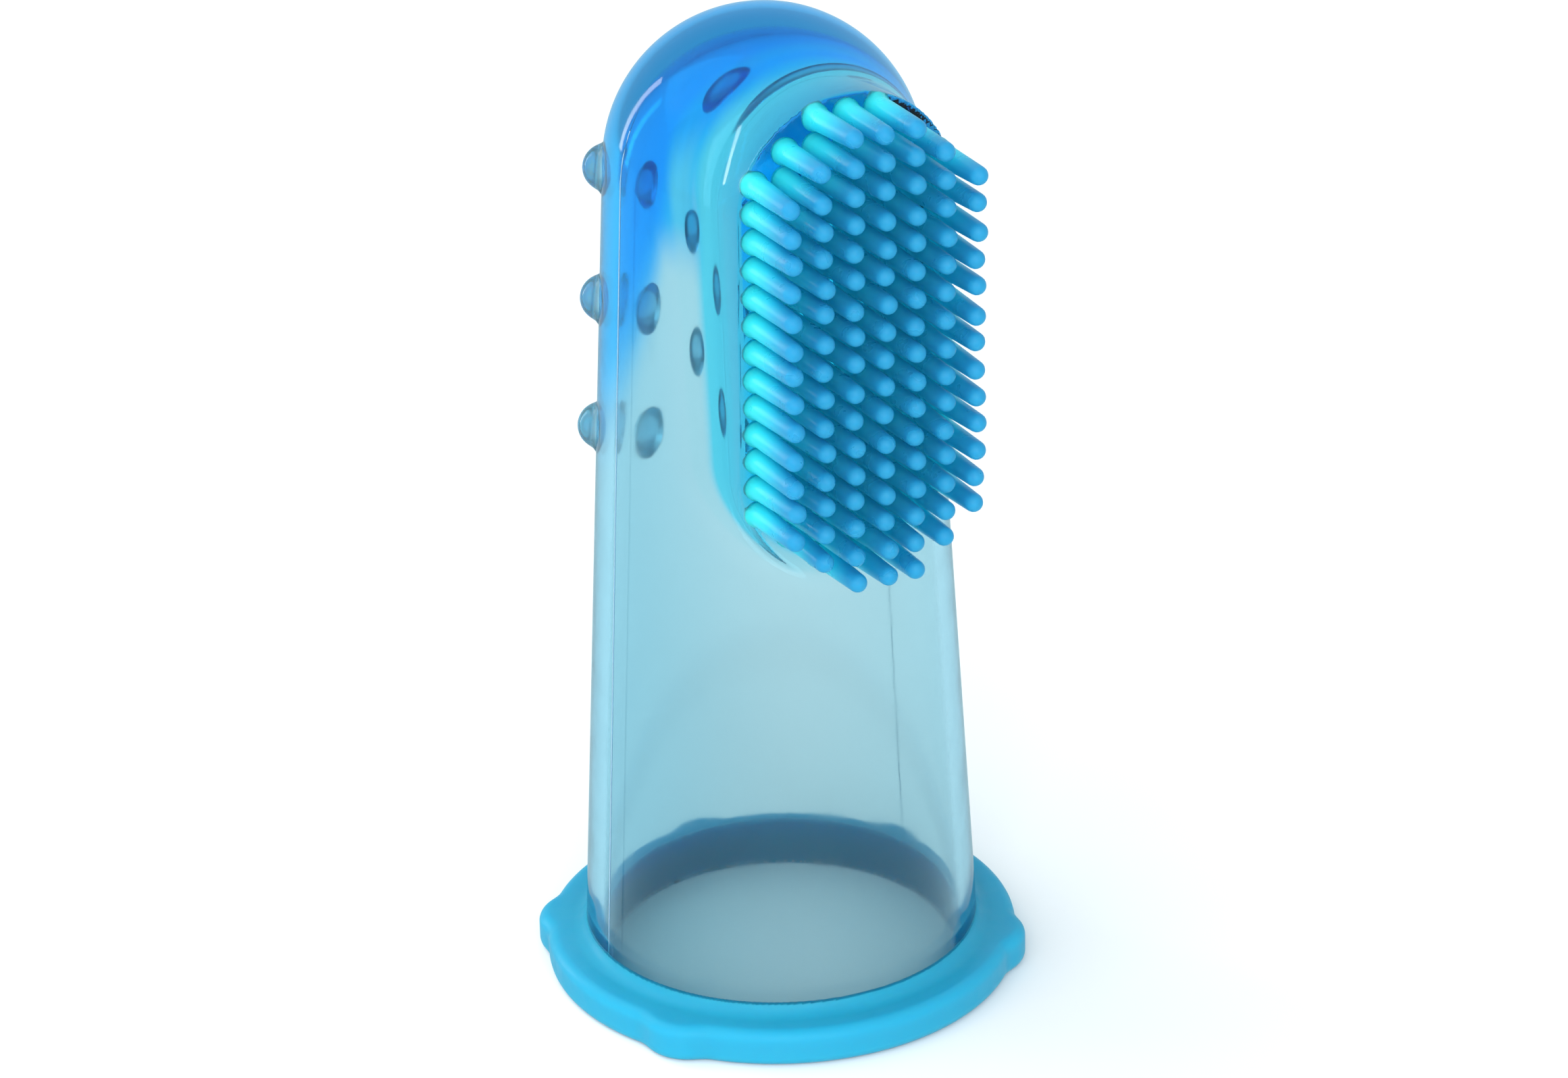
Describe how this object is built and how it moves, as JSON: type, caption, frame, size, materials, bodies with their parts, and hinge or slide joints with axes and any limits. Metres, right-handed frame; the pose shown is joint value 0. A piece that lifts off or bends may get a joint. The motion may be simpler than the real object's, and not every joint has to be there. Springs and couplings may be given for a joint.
{
  "type": "pet finger toothbrush",
  "caption": "Soft silicone finger toothbrush for pets: a tapered thimble with a bristle pad on one face, grip nubs on its back and a lobed rim ring.",
  "frame": {"origin": "centre of the open rim's bottom plane", "axes": "+Z along the finger towards the round tip; bristles face -Y; grip nubs are on the back, towards +Y"},
  "size_m": [0.0258, 0.0286, 0.055],
  "materials": {
    "clear_sleeve": "thin clear blue silicone, glossy",
    "deep_tip": "thick clear deep blue silicone, glossy",
    "satin_rim": "cloudy cyan blue silicone, satin",
    "pad": "clear cyan blue silicone, glossy sides",
    "bristle": "cloudy cyan blue silicone, satin",
    "nub": "clear blue silicone, glossy"
  },
  "bodies": {
    "moulding": {"finger_sleeve": "clear_sleeve", "domed_tip": "deep_tip", "rim_ring": "satin_rim", "brush_pad": "pad", "nub_column_left_outer": "nub", "nub_column_left_inner": "nub", "nub_column_right_inner": "nub", "nub_column_right_outer": "nub"},
    "bristle_row_01": {"bristle_row_01": "bristle"},
    "bristle_row_02": {"bristle_row_02": "bristle"},
    "bristle_row_03": {"bristle_row_03": "bristle"},
    "bristle_row_04": {"bristle_row_04": "bristle"},
    "bristle_row_05": {"bristle_row_05": "bristle"},
    "bristle_row_06": {"bristle_row_06": "bristle"},
    "bristle_row_07": {"bristle_row_07": "bristle"},
    "bristle_row_08": {"bristle_row_08": "bristle"},
    "bristle_row_09": {"bristle_row_09": "bristle"},
    "bristle_row_10": {"bristle_row_10": "bristle"},
    "bristle_row_11": {"bristle_row_11": "bristle"},
    "bristle_row_12": {"bristle_row_12": "bristle"},
    "bristle_row_13": {"bristle_row_13": "bristle"},
    "bristle_row_14": {"bristle_row_14": "bristle"},
    "bristle_row_15": {"bristle_row_15": "bristle"},
    "bristle_row_16": {"bristle_row_16": "bristle"},
    "bristle_row_17": {"bristle_row_17": "bristle"}
  },
  "joints": [
    {"name": "row_01_lean", "type": "hinge", "parent": "moulding", "child": "bristle_row_01", "pos_m": [0, -0.0108, 0.05283], "axis": [1, 0, 0], "range_deg": [-25, 25], "stiffness_Nm_per_rad": 0.000179},
    {"name": "row_02_lean", "type": "hinge", "parent": "moulding", "child": "bristle_row_02", "pos_m": [0, -0.01076, 0.05132], "axis": [1, 0, 0], "range_deg": [-25, 25], "stiffness_Nm_per_rad": 0.000298},
    {"name": "row_03_lean", "type": "hinge", "parent": "moulding", "child": "bristle_row_03", "pos_m": [0, -0.01072, 0.04981], "axis": [1, 0, 0], "range_deg": [-25, 25], "stiffness_Nm_per_rad": 0.000417},
    {"name": "row_04_lean", "type": "hinge", "parent": "moulding", "child": "bristle_row_04", "pos_m": [0, -0.01068, 0.0483], "axis": [1, 0, 0], "range_deg": [-25, 25], "stiffness_Nm_per_rad": 0.000417},
    {"name": "row_05_lean", "type": "hinge", "parent": "moulding", "child": "bristle_row_05", "pos_m": [0, -0.01064, 0.04678], "axis": [1, 0, 0], "range_deg": [-25, 25], "stiffness_Nm_per_rad": 0.000417},
    {"name": "row_06_lean", "type": "hinge", "parent": "moulding", "child": "bristle_row_06", "pos_m": [0, -0.0106, 0.04527], "axis": [1, 0, 0], "range_deg": [-25, 25], "stiffness_Nm_per_rad": 0.000417},
    {"name": "row_07_lean", "type": "hinge", "parent": "moulding", "child": "bristle_row_07", "pos_m": [0, -0.01056, 0.04376], "axis": [1, 0, 0], "range_deg": [-25, 25], "stiffness_Nm_per_rad": 0.000417},
    {"name": "row_08_lean", "type": "hinge", "parent": "moulding", "child": "bristle_row_08", "pos_m": [0, -0.01052, 0.04225], "axis": [1, 0, 0], "range_deg": [-25, 25], "stiffness_Nm_per_rad": 0.000417},
    {"name": "row_09_lean", "type": "hinge", "parent": "moulding", "child": "bristle_row_09", "pos_m": [0, -0.01048, 0.04074], "axis": [1, 0, 0], "range_deg": [-25, 25], "stiffness_Nm_per_rad": 0.000417},
    {"name": "row_10_lean", "type": "hinge", "parent": "moulding", "child": "bristle_row_10", "pos_m": [0, -0.01044, 0.03923], "axis": [1, 0, 0], "range_deg": [-25, 25], "stiffness_Nm_per_rad": 0.000417},
    {"name": "row_11_lean", "type": "hinge", "parent": "moulding", "child": "bristle_row_11", "pos_m": [0, -0.0104, 0.03772], "axis": [1, 0, 0], "range_deg": [-25, 25], "stiffness_Nm_per_rad": 0.000417},
    {"name": "row_12_lean", "type": "hinge", "parent": "moulding", "child": "bristle_row_12", "pos_m": [0, -0.01036, 0.0362], "axis": [1, 0, 0], "range_deg": [-25, 25], "stiffness_Nm_per_rad": 0.000417},
    {"name": "row_13_lean", "type": "hinge", "parent": "moulding", "child": "bristle_row_13", "pos_m": [0, -0.01032, 0.03469], "axis": [1, 0, 0], "range_deg": [-25, 25], "stiffness_Nm_per_rad": 0.000417},
    {"name": "row_14_lean", "type": "hinge", "parent": "moulding", "child": "bristle_row_14", "pos_m": [0, -0.01028, 0.03318], "axis": [1, 0, 0], "range_deg": [-25, 25], "stiffness_Nm_per_rad": 0.000417},
    {"name": "row_15_lean", "type": "hinge", "parent": "moulding", "child": "bristle_row_15", "pos_m": [0, -0.01025, 0.03167], "axis": [1, 0, 0], "range_deg": [-25, 25], "stiffness_Nm_per_rad": 0.000417},
    {"name": "row_16_lean", "type": "hinge", "parent": "moulding", "child": "bristle_row_16", "pos_m": [0, -0.01021, 0.03016], "axis": [1, 0, 0], "range_deg": [-25, 25], "stiffness_Nm_per_rad": 0.000298},
    {"name": "row_17_lean", "type": "hinge", "parent": "moulding", "child": "bristle_row_17", "pos_m": [0, -0.01017, 0.02865], "axis": [1, 0, 0], "range_deg": [-25, 25], "stiffness_Nm_per_rad": 0.000179}
  ],
  "couplings": [
    {"joint": "row_01_lean", "follows": "row_09_lean", "ratio": 1},
    {"joint": "row_02_lean", "follows": "row_09_lean", "ratio": 1},
    {"joint": "row_03_lean", "follows": "row_09_lean", "ratio": 1},
    {"joint": "row_04_lean", "follows": "row_09_lean", "ratio": 1},
    {"joint": "row_05_lean", "follows": "row_09_lean", "ratio": 1},
    {"joint": "row_06_lean", "follows": "row_09_lean", "ratio": 1},
    {"joint": "row_07_lean", "follows": "row_09_lean", "ratio": 1},
    {"joint": "row_08_lean", "follows": "row_09_lean", "ratio": 1},
    {"joint": "row_10_lean", "follows": "row_09_lean", "ratio": 1},
    {"joint": "row_11_lean", "follows": "row_09_lean", "ratio": 1},
    {"joint": "row_12_lean", "follows": "row_09_lean", "ratio": 1},
    {"joint": "row_13_lean", "follows": "row_09_lean", "ratio": 1},
    {"joint": "row_14_lean", "follows": "row_09_lean", "ratio": 1},
    {"joint": "row_15_lean", "follows": "row_09_lean", "ratio": 1},
    {"joint": "row_16_lean", "follows": "row_09_lean", "ratio": 1},
    {"joint": "row_17_lean", "follows": "row_09_lean", "ratio": 1}
  ]
}
